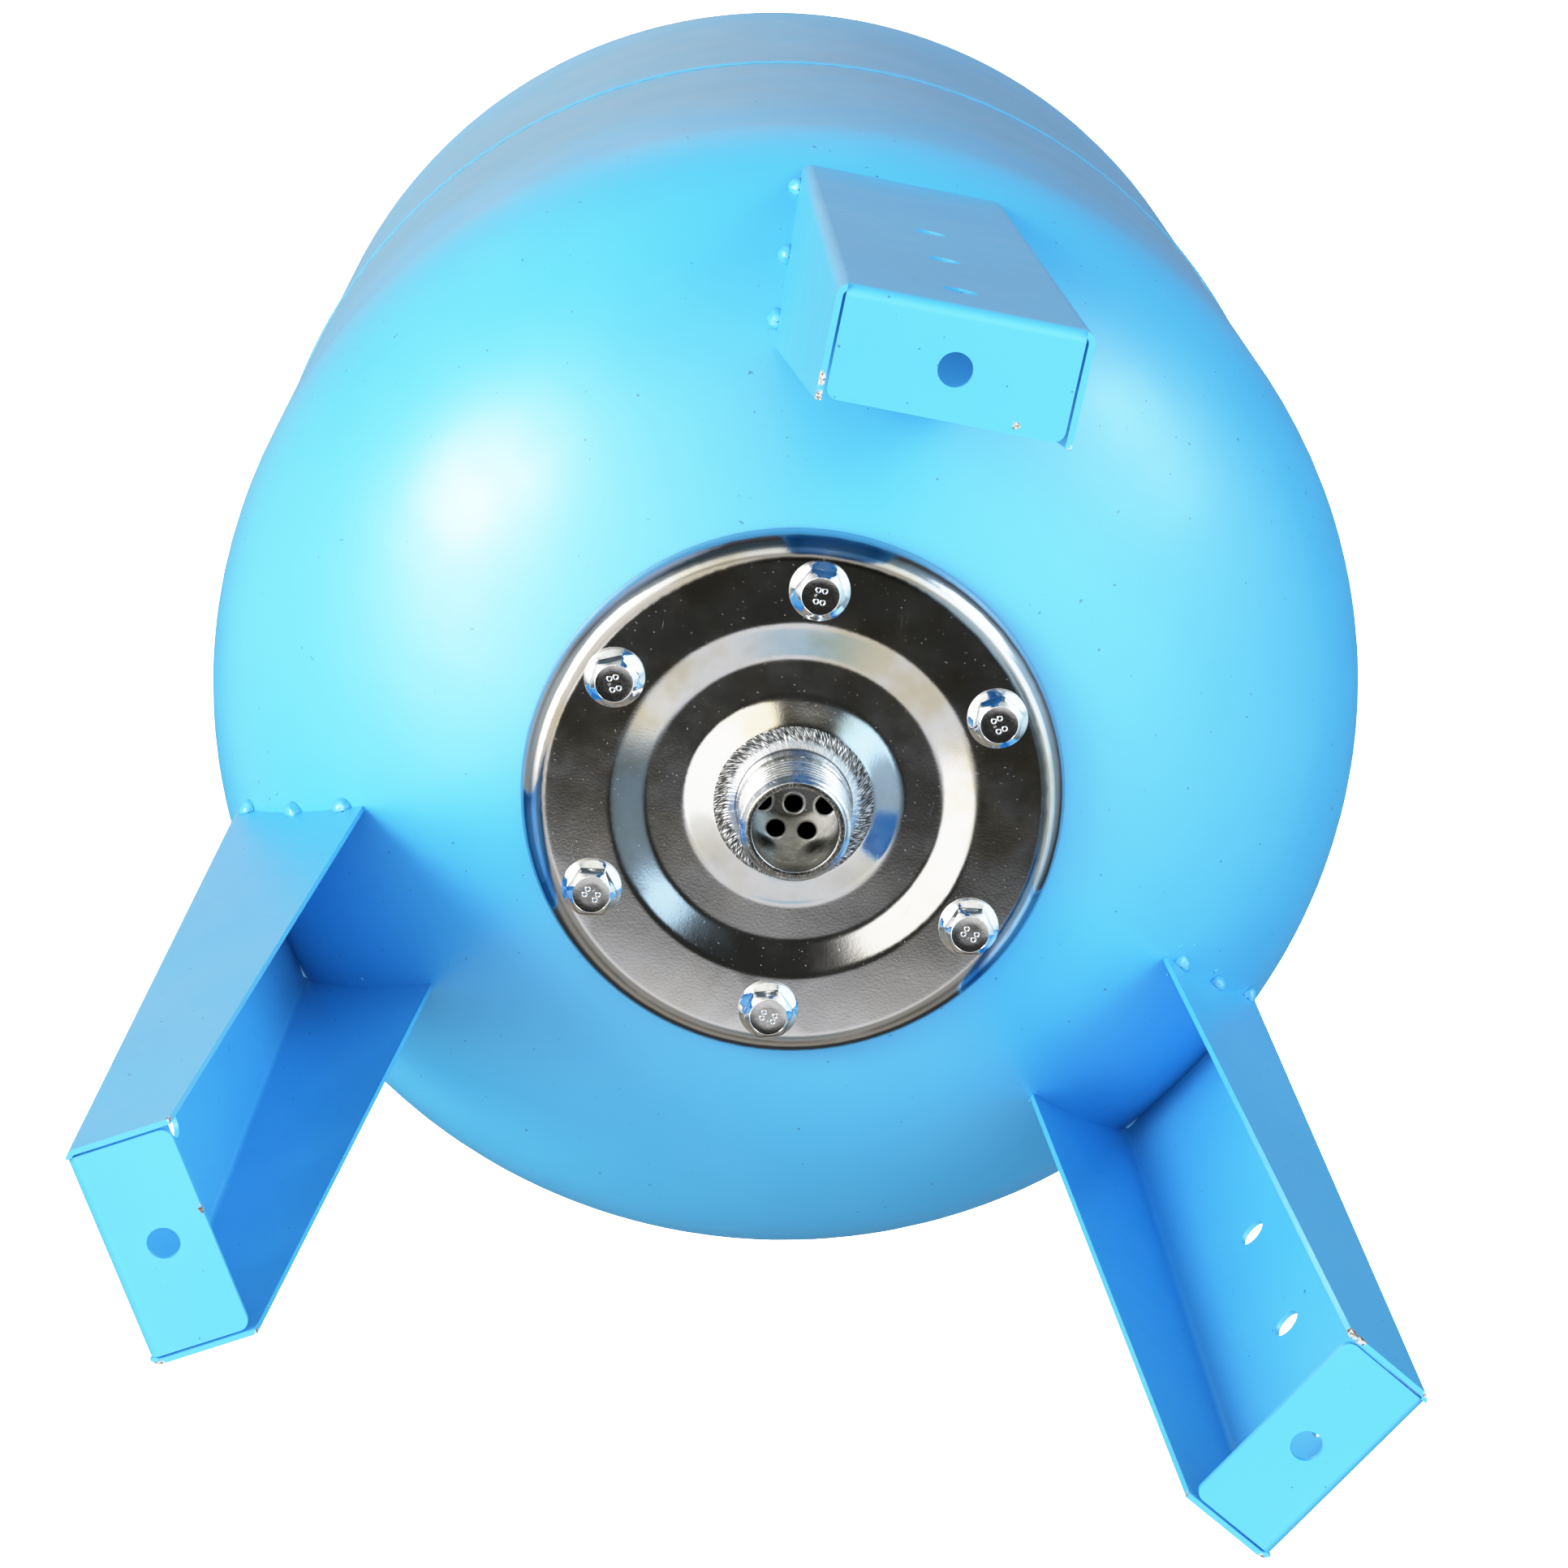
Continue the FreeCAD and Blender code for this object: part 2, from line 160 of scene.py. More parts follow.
enamelLook = {
    "azure": rgb(0.083, 0.475, 0.850),
    "azureDeep": rgb(0.071, 0.455, 0.830),
    "roughness": 0.37,
    "specular": 1.0,
    "orangePeelSize": 1.6 * mm,
    "orangePeelHeight": 0.012 * mm,
    "speckSize": 1.7 * mm,
    "speckTone": rgb(0.03, 0.12, 0.22),
    "dustSize": 1.1 * mm,
    "dustHeight": 0.02 * mm,
    # the side walls between these heights get a painted grey sheen and shade
    "wallSheenFrom": 300.0 * mm,
    "wallSheenTo": 640.0 * mm,
    "wallSheenFade": 100.0 * mm,
    "wallSheenTone": rgb(0.17, 0.30, 0.41),
    # lighter tone of the cut edges: thin worn paint and a painted edge highlight
    "wornEdgeAndHighlightTone": rgb(0.66, 0.88, 0.97),
    "bareTone": rgb(0.78, 0.78, 0.76),
    "scaleTone": rgb(0.12, 0.10, 0.08),
    "rustTone": rgb(0.20, 0.085, 0.035),
}


def enamelBase(p, look):
    where = p.place()
    drift = p.grain(90 * mm, 2.0, 0.5, where)
    colour = p.mix(p.spread(drift, 0.35, 0.65), look["azureDeep"], look["azure"])
    speck = p.spread(p.grain(look["speckSize"], 0.0, 0.5, where), 0.845, 0.87)
    colour = p.mix(speck * 0.7, colour, look["speckTone"])
    peel = p.grain(look["orangePeelSize"], 1.5, 0.45, where)
    dust = p.spread(p.grain(look["dustSize"], 0.0, 0.5, where), 0.80, 0.86)
    normal = p.bump(peel, look["orangePeelHeight"])
    normal = p.bump(dust, look["dustHeight"], normal)
    smear = p.grain(35 * mm, 3.0, 0.6, where)
    rough = p.spread(smear, 0.3, 0.7, look["roughness"] - 0.03, look["roughness"] + 0.03)
    return colour, rough, normal


def tankEnamel(look):
    p = newPaint("tankEnamel")
    colour, rough, normal = enamelBase(p, look)
    z = p.parts(p.place())[2]
    walls = p.band(z, look["wallSheenFrom"], look["wallSheenTo"], look["wallSheenFade"], look["wallSheenFade"])
    # painted sheen and shade: the side walls are greyed and darkened, in soft patches
    wallSheen = walls * p.spread(p.grain(40 * mm, 3.0, 0.6), 0.2, 0.8, 0.25, 0.42)
    colour = p.mix(wallSheen, colour, look["wallSheenTone"])
    return p.surface(Base_Color=colour, Roughness=rough, Normal=normal, Specular_IOR_Level=look["specular"])


# Bare chips on the legs: middle and reach, in millimetres
chipSpots = [
    ((-31.0, -157.5, 0.5), 3.6),
    ((-31.0, -162.5, 0.3), 2.6),
    ((16.9, -160.5, 0.0), 1.3),
    ((31.0, -157.0, 0.5), 2.0),
    ((-138.9, 73.7, 0.0), 2.4),
    ((-150.8, 51.4, 0.5), 2.2),
    ((-119.8, 104.4, 0.5), 2.6),
    ((-143.8, 118.8, 0.5), 1.8),
    ((152.0, 52.0, 0.5), 2.8),
    ((154.8, 53.6, 0.5), 2.4),
    ((174.8, 65.2, 0.5), 1.8),
    ((119.8, 104.4, 0.5), 2.2),
    ((143.8, 118.8, 0.5), 1.6),
]


def legEnamel(look):
    p = newPaint("legEnamel")
    colour, rough, normal = enamelBase(p, look)
    edgeFaces = p.node("ShaderNodeAttribute", {"attribute_name": "cutEdge"}, output=2)
    # the cut edges are painted lighter: partly thin worn paint, partly a painted highlight where they catch
    # the light
    thinPaintAndHighlight = edgeFaces * p.spread(p.grain(9 * mm, 3.0, 0.6), 0.30, 0.60, 0.35, 1.0)
    colour = p.mix(thinPaintAndHighlight * 0.6, colour, look["wornEdgeAndHighlightTone"])
    bare = edgeFaces * p.spread(p.grain(2.2 * mm, 3.0, 0.65), 0.60, 0.68)
    where = p.place()
    for spot, reach in chipSpots:
        middle = Vector(spot) * mm
        away = p.node("ShaderNodeVectorMath", {"operation": "DISTANCE"}, {0: where, 1: middle}, output=1)
        ragged = away + (p.grain(1.3 * mm, 3.0, 0.7, where) - 0.5) * reach * 2.0 * mm
        bare = bare.bigger(p.spread(ragged, reach * 0.80 * mm, reach * 0.55 * mm))
    scale = p.spread(p.grain(0.9 * mm, 2.0, 0.6, where), 0.50, 0.60)
    colour = p.mix(bare, colour, p.mix(scale, look["bareTone"], look["scaleTone"]))
    rust = bare * p.spread(p.grain(4 * mm, 2.0, 0.6, where), 0.56, 0.64)
    colour = p.mix(rust, colour, look["rustTone"])
    rough = rough + bare * 0.12
    metal = bare * 0.7
    return p.surface(Base_Color=colour, Roughness=rough, Metallic=metal, Normal=normal,
                     Specular_IOR_Level=look["specular"])


# The painted dark bands at the inner and outer bend, the skirt with its painted darker lilac reflection, and
# the recess are at these distances from the axis
flangeSteelLook = {
    "tone": rgb(0.64, 0.64, 0.64),
    "oliveTone": rgb(0.53, 0.48, 0.33),
    "cloudTone": rgb(0.50, 0.50, 0.50),
    "innerBendShadeFrom": 73.0 * mm,
    "innerBendShadeTo": 76.3 * mm,
    "innerBendShadeTone": rgb(0.14, 0.13, 0.11),
    "outerBendShadeFrom": 76.8 * mm,
    "outerBendShadeTo": 80.2 * mm,
    "outerBendShadeTone": rgb(0.12, 0.15, 0.17),
    "skirtFrom": 79.2 * mm,
    "skirtReflectionTone": rgb(0.44, 0.43, 0.46),
    "recessEdge": 45.0 * mm,
    "smooth": 0.088,
    "dull": 0.116,
    "softBend": 1.4 * mm,
}


def flangeSteel(look):
    p = newPaint("pressedFlangeSteel")
    where = p.place()
    x, y = p.parts(where)[:2]
    radius = p.fromAxis(x, y)
    cloud = p.grain(28 * mm, 3.0, 0.6, where)
    # an olive, darker tint in patches, stronger towards -Y
    oliveSide = p.spread(cloud, 0.46, 0.66) * p.spread(y, 45 * mm, -15 * mm, 0.25, 1.0)
    colour = p.mix(oliveSide * 0.75, look["tone"], look["oliveTone"])
    colour = p.mix(p.spread(p.grain(7 * mm, 4.0, 0.7, where), 0.45, 0.75) * 0.2, colour, look["cloudTone"])
    outerBendShade = p.band(radius, look["outerBendShadeFrom"], look["outerBendShadeTo"], 0.7 * mm, 1.2 * mm)
    skirt = p.spread(radius, look["skirtFrom"], look["skirtFrom"] + 0.8 * mm)
    innerBendShade = p.band(radius, look["innerBendShadeFrom"], look["innerBendShadeTo"], 0.8 * mm, 1.0 * mm)
    # painted dark reflections: two dark bands at the bend, and a darker lilac grey on the skirt
    colour = p.mix(innerBendShade * 0.75, colour, look["innerBendShadeTone"])
    colour = p.mix(outerBendShade * 0.72, colour, look["outerBendShadeTone"])
    colour = p.mix(skirt * 0.8, colour, look["skirtReflectionTone"])
    rolled = p.grain(0.5 * mm, 2.0, 0.5, where, (0.03, 1.0, 1.0))
    scratch = p.spread(p.grain(0.5 * mm, 1.0, 0.5, where, (0.6, 0.03, 1.0)), 0.76, 0.82)
    smear = p.grain(16 * mm, 3.0, 0.6, where)
    recess = p.spread(radius, look["recessEdge"] - 2.0 * mm, look["recessEdge"], 1.0, 0.0)
    rough = p.spread(smear, 0.35, 0.70, look["smooth"], look["dull"])
    rough = rough + recess * 0.01 + scratch * 0.03 + skirt * 0.12
    wave = p.grain(26 * mm, 1.0, 0.5, where)
    softBend = p.node("ShaderNodeBevel", {"samples": 6}, {"Radius": look["softBend"]})
    normal = p.bump(wave, 0.06 * mm, softBend)
    normal = p.bump(rolled, 0.0006 * mm, normal)
    normal = p.bump(p.grain(0.8 * mm, 2.0, 0.6, where), 0.006 * mm, normal)
    pits = p.spread(p.grain(0.8 * mm, 1.0, 0.5, where), 0.74, 0.82)
    normal = p.bump(pits + scratch * 0.5, 0.012 * mm, normal)
    return p.surface(Base_Color=colour, Roughness=rough, Metallic=1.0, Normal=normal)


nippleSteelLook = {
    "bright": rgb(0.72, 0.72, 0.71),
    "grey": rgb(0.50, 0.50, 0.49),
    # painted shade: darker bore and thread valleys
    "boreShadeTone": rgb(0.20, 0.205, 0.17),
    "valleyShadeTone": rgb(0.10, 0.10, 0.11),
    "endDark": rgb(0.10, 0.095, 0.085),
    "endBright": rgb(0.42, 0.41, 0.38),
}


def nippleSteel(look):
    p = newPaint("turnedNippleSteel")
    where = p.place()
    x, y, z = p.parts(where)
    radius = p.fromAxis(x, y)
    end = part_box("connection_nipple")[0].z
    bore = p.spread(radius, 12.4 * mm, 12.8 * mm, 1.0, 0.0)
    endFace = p.spread(z, end + 0.01 * mm, end + 0.05 * mm, 1.0, 0.0)
    valley = p.spread(radius, 15.5 * mm, 16.3 * mm, 1.0, 0.0) * (1.0 - bore)
    valley = valley * p.spread(z, end + 1.5 * mm, end + 3.0 * mm)
    tone = p.mix(p.spread(p.grain(5 * mm, 4.0, 0.7, where), 0.35, 0.70), look["bright"], look["grey"])
    # painted shade inside the bore and in the thread valleys
    tone = p.mix(bore * 0.9, tone, look["boreShadeTone"])
    tone = p.mix(valley * 0.85, tone, look["valleyShadeTone"])
    speckle = p.spread(p.grain(0.35 * mm, 2.0, 0.6, where), 0.45, 0.70)
    tone = p.mix(endFace, tone, p.mix(speckle, look["endDark"], look["endBright"]))
    turning = p.grain(0.25 * mm, 2.0, 0.6, where, (0.05, 0.05, 1.0))
    nicks = p.spread(p.grain(0.7 * mm, 2.0, 0.6, where), 0.62, 0.72)
    rough = p.spread(p.grain(3 * mm, 3.0, 0.6, where), 0.3, 0.7, 0.14, 0.30) + bore * 0.12
    normal = p.bump(turning, 0.004 * mm)
    normal = p.bump(nicks, 0.02 * mm, normal)
    return p.surface(Base_Color=tone, Roughness=rough, Metallic=1.0, Normal=normal)


weldSteelLook = {
    "scoredFrom": 18.8 * mm,
    # partly the scored metal's own dark, partly painted shade in its scratches
    "scoredDarkAndShade": rgb(0.055, 0.055, 0.055),
    "scoredBright": rgb(0.62, 0.62, 0.61),
    "innerDark": rgb(0.40, 0.42, 0.45),
    "innerBright": rgb(0.60, 0.61, 0.62),
    # painted shade in the crease at the weld's inner edge
    "creaseShadeTone": rgb(0.05, 0.05, 0.05),
}


def weldSteel(look):
    p = newPaint("dressedWeldSteel")
    where = p.place()
    x, y = p.parts(where)[:2]
    radius = p.fromAxis(x, y)
    outer = p.spread(radius, look["scoredFrom"], look["scoredFrom"] + 1.6 * mm)
    turn = p.node("ShaderNodeMath", {"operation": "ARCTAN2"}, {0: y, 1: x})
    polar = p.node("ShaderNodeCombineXYZ", inputs={0: turn * 44.0 + radius * 1500.0, 1: radius * 520.0})
    streaks = p.node("ShaderNodeTexNoise", inputs={"Vector": polar, "Scale": 1.0, "Detail": 2.0})
    stroke = p.spread(streaks, 0.42, 0.66)
    # the scored ring's dark is partly rough metal and partly painted shade in the scratches
    scored = p.mix(stroke, look["scoredDarkAndShade"], look["scoredBright"])
    tone = p.mix(outer, p.mix(stroke, look["innerDark"], look["innerBright"]), scored)
    # painted shade: a dark line in the crease where the weld meets the nipple
    creaseShade = p.spread(radius, 17.3 * mm, 17.55 * mm, 1.0, 0.0)
    tone = p.mix(creaseShade * 0.85, tone, look["creaseShadeTone"])
    rough = p.spread(p.grain(1.2 * mm, 3.0, 0.6, where), 0.3, 0.7, 0.18, 0.32) + outer * 0.12
    return p.surface(Base_Color=tone, Roughness=rough, Metallic=1.0)


boltZincLook = {
    "bright": rgb(0.80, 0.80, 0.79),
    "grey": rgb(0.66, 0.66, 0.65),
    "crownTone": rgb(0.46, 0.45, 0.44),
}


def boltZinc(look):
    p = newPaint("brightBoltZinc")
    where = p.place()
    tone = p.mix(p.spread(p.grain(3 * mm, 3.0, 0.6, where), 0.35, 0.7), look["bright"], look["grey"])
    crown = p.node("ShaderNodeAttribute", {"attribute_name": "crownFace"}, output=2)
    speckle = p.grain(0.45 * mm, 3.0, 0.7, where)
    tone = p.mix(crown * 0.5, tone, look["crownTone"])
    rough = 0.05 + p.grain(2.4 * mm, 2.0, 0.5, where) * 0.05 + crown * p.spread(speckle, 0.4, 0.7, 0.0, 0.08)
    wobble = p.bump(p.grain(2.2 * mm, 1.0, 0.5, where), 0.012 * mm)
    normal = p.bump(speckle * crown, 0.008 * mm, wobble)
    return p.surface(Base_Color=tone, Roughness=rough, Metallic=1.0, Normal=normal)


def plainSteel(name, tone, roughness):
    p = newPaint(name)
    cloud = p.spread(p.grain(6 * mm, 3.0, 0.6), 0.35, 0.7)
    colour = p.mix(cloud, tone, rgb(*(0.8 * v for v in tone[:3])))
    rough = p.spread(p.grain(2 * mm, 3.0, 0.6), 0.3, 0.7, roughness - 0.06, roughness + 0.06)
    normal = p.bump(p.grain(0.4 * mm), 0.01 * mm)
    return p.surface(Base_Color=colour, Roughness=rough, Metallic=1.0, Normal=normal)


def softBlack(name, tone, roughness):
    p = newPaint(name)
    cloud = p.spread(p.grain(4 * mm, 3.0, 0.6), 0.35, 0.7)
    colour = p.mix(cloud, rgb(tone, tone, tone), rgb(1.5 * tone, 1.5 * tone, 1.5 * tone))
    rough = p.spread(p.grain(2 * mm, 3.0, 0.6), 0.3, 0.7, roughness - 0.08, roughness + 0.08)
    return p.surface(Base_Color=colour, Roughness=rough, Normal=p.bump(p.grain(0.25 * mm), 0.02 * mm))


finishes = {
    "tank": tankEnamel(enamelLook),
    "leg": legEnamel(enamelLook),
    "flange": flangeSteel(flangeSteelLook),
    "nipple": nippleSteel(nippleSteelLook),
    "weld": weldSteel(weldSteelLook),
    "bolt": boltZinc(boltZincLook),
    "ring": plainSteel("plainRingSteel", rgb(0.52, 0.52, 0.51), 0.34),
    "spring": plainSteel("springWire", rgb(0.62, 0.62, 0.62), 0.22),
    "brass": plainSteel("turnedBrass", rgb(0.80, 0.58, 0.26), 0.20),
    "rubber": softBlack("bladderRubber", 0.018, 0.62),
    "seal": softBlack("sealRubber", 0.020, 0.55),
    "cap": softBlack("capPlastic", 0.014, 0.38),
}
print("finishes made")


# Mesh helpers

def wearFinish(piece, finish):
    piece.data.materials.clear()
    piece.data.materials.append(finish)


def newPiece(name, bm, finish, body="tank", node=None, sharp=40.0):
    mesh = bpy.data.meshes.new(name)
    bmesh.ops.recalc_face_normals(bm, faces=bm.faces[:])
    bm.to_mesh(mesh)
    bm.free()
    for face in mesh.polygons:
        face.use_smooth = True
    mesh.set_sharp_from_angle(angle=math.radians(sharp))
    piece = bpy.data.objects.new(name, mesh)
    bpy.context.scene.collection.objects.link(piece)
    wearFinish(piece, finish)
    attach(piece, body)
    if node:
        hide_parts(node)
    return piece


def nodeMesh(node, merge=0.002):  # a copy of a CAD node's mesh, joined up where points meet
    bm = bmesh.new()
    bm.from_mesh(nodes[node].data)
    bmesh.ops.remove_doubles(bm, verts=bm.verts[:], dist=merge * mm)
    return bm


def shadeEvenly(piece):  # flats stay flat right up to their rounded edges
    even = piece.modifiers.new("evenShading", "WEIGHTED_NORMAL")
    even.keep_sharp = True


def markFaces(bm, name, faces):  # a mask that a material reads, 1 on these faces
    layer = bm.loops.layers.float_color.new(name)
    chosen = set(faces)
    for face in bm.faces:
        level = 1.0 if face in chosen else 0.0
        for loop in face.loops:
            loop[layer] = (level, level, level, 1.0)


# Joins rings of points; each ring gives its radius and height at an angle, in millimetres
def ringStack(bm, rings, segments, closed=False):
    rows = []
    for ring in rings:
        row = []
        for k in range(segments):
            turn = 2.0 * math.pi * k / segments
            r, z = ring(turn)
            row.append(bm.verts.new((r * math.cos(turn) * mm, r * math.sin(turn) * mm, z * mm)))
        rows.append(row)
    pairs = list(zip(rows, rows[1:]))
    if closed:
        pairs.append((rows[-1], rows[0]))
    faces = []
    for low, high in pairs:
        for k in range(segments):
            n = (k + 1) % segments
            faces.append(bm.faces.new((low[k], low[n], high[n], high[k])))
    return rows, faces


def plainRing(r, z):
    return lambda turn: (r, z)


def hexReach(across, turn):  # distance from a hexagon's middle to its side, with softened corners
    local = (turn + math.pi / 6.0) % (math.pi / 3.0) - math.pi / 6.0
    side = across / 2.0 / math.cos(local)
    corner = across / math.sqrt(3.0) - 0.125
    return min(side, corner)


# Bolts

boltLook = {
    "across": 13.0,
    "collarRadius": 8.95,
    "crownRadius": 5.5,
    "crownSlope": 0.6,
    "headHeight": 7.0,
    "collarEdge": 1.2,
    "shankRadius": 4.0,
    "segments": 144,
    "hexTurns": [29.0, 0.0, 22.0, 13.0, 22.0, 6.0],
    "markTurns": [90.5, 53.5, 19.5, 8.5, -160.5, 64.5],
    "markSpacing": 3.45,
    "markRing": 0.70,
    "markTube": 0.23,
    "markStep": 0.95,
    "dotRing": 0.28,
    "dotDrop": 1.45,
}


def boltRings(look, seat):
    across = look["across"]
    collar = look["collarRadius"]
    crown = look["crownRadius"]
    top = seat - look["headHeight"]
    face = top + 0.06
    hexFoot = seat - look["collarEdge"] - 0.7

    def hexRing(inset, z):
        return lambda turn: (hexReach(across, turn) - inset, z)

    def coneRing(scale, inset, lift):  # the cone between the flats and the crown
        def at(turn):
            r = hexReach(across, turn) * scale
            return (r - inset, top + (r - crown) * look["crownSlope"] + lift)

        return at

    def middleRing(turn):
        r = hexReach(across, turn)
        return (0.5 * (r + crown + 0.3), top + 0.5 * (r - crown + 0.3) * look["crownSlope"] + 0.01)

    rings = [
        plainRing(look["shankRadius"], seat),
        plainRing(collar - 0.40, seat),
        plainRing(collar - 0.10, seat - 0.10),
        plainRing(collar, seat - 0.35),
        plainRing(collar, seat - 0.80),
        plainRing(collar - 0.10, seat - 1.08),
        plainRing(collar - 0.35, seat - 1.25),
        hexRing(-0.45, hexFoot - 0.02),
        hexRing(-0.12, hexFoot - 0.22),
        hexRing(0.0, hexFoot - 0.55),
        coneRing(1.0, 0.02, 0.30),
        coneRing(1.0, 0.02, 0.10),
        coneRing(0.97, 0.0, 0.03),
        middleRing,
        plainRing(crown + 0.32, top + 0.14),
        plainRing(crown + 0.16, top + 0.03),
        plainRing(crown + 0.02, top),
        plainRing(crown - 0.04, top + 0.05),
        plainRing(crown - 0.12, face),
        plainRing(3.0, face),
        plainRing(0.9, face),
    ]
    return rings, face


def addTorus(bm, centre, ringRadius, tube, count=20, sides=8):  # one round stroke of a mark
    rows = []
    for k in range(count):
        a = 2.0 * math.pi * k / count
        row = []
        for j in range(sides):
            b = 2.0 * math.pi * j / sides
            r = ringRadius + tube * math.cos(b)
            row.append(bm.verts.new((centre[0] + r * math.cos(a) * mm, centre[1] + r * math.sin(a) * mm,
                                     centre[2] + tube * math.sin(b) * mm)))
        rows.append(row)
    for k in range(count):
        low, high = rows[k], rows[(k + 1) % count]
        for j in range(sides):
            n = (j + 1) % sides
            bm.faces.new((low[j], low[n], high[n], high[j]))


def makeBolt(number, look):
    node = "flange_bolt_%d" % number
    low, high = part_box(node)
    middle = (low + high) / 2.0
    seat = low.z / mm + look["headHeight"]
    bm = bmesh.new()
    rings, face = boltRings(look, seat)
    rows, faces = ringStack(bm, rings, look["segments"])
    crownFaces = faces[-2 * look["segments"]:]
    crownFaces.append(bm.faces.new(rows[-1]))
    radius, tip = look["shankRadius"], high.z / mm
    shank = [plainRing(radius, seat), plainRing(radius, tip - 0.6), plainRing(radius - 0.6, tip)]
    shankRows = ringStack(bm, shank, look["segments"])[0]
    bm.faces.new(shankRows[-1])
    turn = Matrix.Rotation(math.radians(look["hexTurns"][number - 1]), 4, "Z")
    bmesh.ops.transform(bm, matrix=turn, verts=bm.verts[:])
    along = math.radians(look["markTurns"][number - 1])
    right = Vector((math.cos(along), math.sin(along), 0.0)) * mm
    down = Vector((-math.sin(along), math.cos(along), 0.0)) * mm
    level = Vector((0.0, 0.0, face * mm))
    for side in (-0.5, 0.5):
        for lobe in (-1.0, 1.0):
            centre = level + right * side * look["markSpacing"] + down * lobe * look["markStep"]
            addTorus(bm, centre, look["markRing"], look["markTube"])
    addTorus(bm, level + down * look["dotDrop"], look["dotRing"], look["markTube"] * 0.8, 14, 6)
    markFaces(bm, "crownFace", crownFaces)
    bmesh.ops.translate(bm, vec=Vector((middle.x, middle.y, 0.0)), verts=bm.verts[:])
    newPiece("markedBolt%d" % number, bm, finishes["bolt"], node=node, sharp=28.0)


for number in range(1, 7):
    makeBolt(number, boltLook)
print("bolts made")


# Counterflange: the pressed sheet, with the flats shaded flat right up to its bends

flangeLook = {"sharp": 35.0}


def makeFlange(look):
    bm = nodeMesh("counterflange")
    piece = newPiece("pressedFlange", bm, finishes["flange"], node="counterflange",
                     sharp=look["sharp"])
    shadeEvenly(piece)


makeFlange(flangeLook)
print("flange made")


# Threaded nipple and its weld

nippleLook = {
    "endRadius": 14.4,
    "boreRadius": 12.5,
    "crestStart": 16.18,
    "crestEnd": 16.60,
    "baseRadius": 17.1,
    "pitch": 2.309,
    "depth": 0.85,
    "threadTo": 16.6,
    "runout": 2.4,
    "baseFrom": 18.9,
    "rowStep": 0.16,
    "segments": 200,
}


def smoothStep(value, low, high):
    t = min(1.0, max(0.0, (value - low) / (high - low)))
    return t * t * (3.0 - 2.0 * t)


def threadRing(look, end, height):
    share = min(1.0, height / look["threadTo"])
    crest = look["crestStart"] + (look["crestEnd"] - look["crestStart"]) * share
    chamfer = look["endRadius"] + height * 0.88
    fade = smoothStep(height, 0.6, 2.0)
    fade *= 1.0 - smoothStep(height, look["threadTo"] - look["runout"], look["threadTo"])

    def ring(turn):
        phase = (height / look["pitch"] - turn / (2.0 * math.pi)) % 1.0
        valley = smoothStep(abs(phase - 0.5), 0.36, 0.06)
        r = min(crest, chamfer) - look["depth"] * valley * fade
        if height > look["threadTo"]:
            r = crest + (look["baseRadius"] - crest) * smoothStep(height, look["threadTo"], look["baseFrom"])
        nick = noise.noise(Vector((math.cos(turn) * 6.0, math.sin(turn) * 6.0, height * 0.8)))
        return (r - 0.05 * max(0.0, nick), end + height)

    return ring


def makeNipple(look):
    low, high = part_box("connection_nipple")
    end = low.z / mm
    foot = high.z / mm
    bm = bmesh.new()
    rings = [
        plainRing(look["boreRadius"], foot),
        plainRing(look["boreRadius"], end + 12.0),
        plainRing(look["boreRadius"], end + 0.5),
        plainRing(look["boreRadius"] + 0.06, end + 0.24),
        plainRing(look["boreRadius"] + 0.20, end + 0.06),
        plainRing(look["boreRadius"] + 0.32, end),
        plainRing(look["endRadius"] - 0.12, end),
        plainRing(look["endRadius"] - 0.02, end + 0.05),
    ]
    count = int((foot - end) / look["rowStep"])
    for k in range(1, count + 1):
        height = k * look["rowStep"]
        rings.append(threadRing(look, end, height))
    rings.append(plainRing(look["baseRadius"], foot))
    ringStack(bm, rings, look["segments"], closed=True)
    newPiece("threadedNipple", bm, finishes["nipple"], node="connection_nipple",
             sharp=50.0)


makeNipple(nippleLook)

weldLook = {
    "innerRadius": 17.1,
    "outerRadius": 23.6,
    "height": 1.6,
    "flatRadius": 21.97,
    "pressBend": 9.0,
    "segments": 900,
    "rows": 22,
    "hatchHeight": 0.22,
    "hatchFrom": 18.8,
}


def makeNippleWeld(look):
    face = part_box("nipple_weld")[0].z / mm + look["height"]
    bm = bmesh.new()

    def ring(share):
        r = look["innerRadius"] + (look["outerRadius"] - look["innerRadius"]) * share
        foot = face + max(0.0, r - look["flatRadius"]) ** 2 / (2.0 * look["pressBend"])  # on the pressed bend

        def at(turn):
            lean = turn + 0.05 * share
            hatch = noise.noise(Vector((math.cos(lean) * 38.0, math.sin(lean) * 38.0, share * 1.4)))
            hatch += 0.6 * noise.noise(Vector((math.cos(lean) * 75.0, math.sin(lean) * 75.0, share * 2.0)))
            scored = smoothStep(r, look["hatchFrom"], look["hatchFrom"] + 1.2)
            strength = look["hatchHeight"] * (0.12 + scored)
            edge = min(1.0, 8.0 * share, 8.0 * (1.0 - share))
            rise = look["height"] * (1.0 - share) ** 1.7 + strength * edge * hatch
            return (r, foot - min(look["height"], max(0.0, rise)))

        return at

    rings = [plainRing(look["innerRadius"], face)]
    rings += [ring(k / look["rows"]) for k in range(look["rows"] + 1)]
    ringStack(bm, rings, look["segments"])
    newPiece("hatchedNippleWeld", bm, finishes["weld"], node="nipple_weld", sharp=80.0)


makeNippleWeld(weldLook)
print("nipple and weld made")


# Girth weld, with fine ripples

girthLook = {
    "height": 0.75,
    "mostHeight": 0.79,
    "halfWidth": 1.9,
    "rippleLength": 2.3,
    "rippleHeight": 0.10,
    "wander": 0.15,
    "segments": 3000,
    "rows": 8,
}


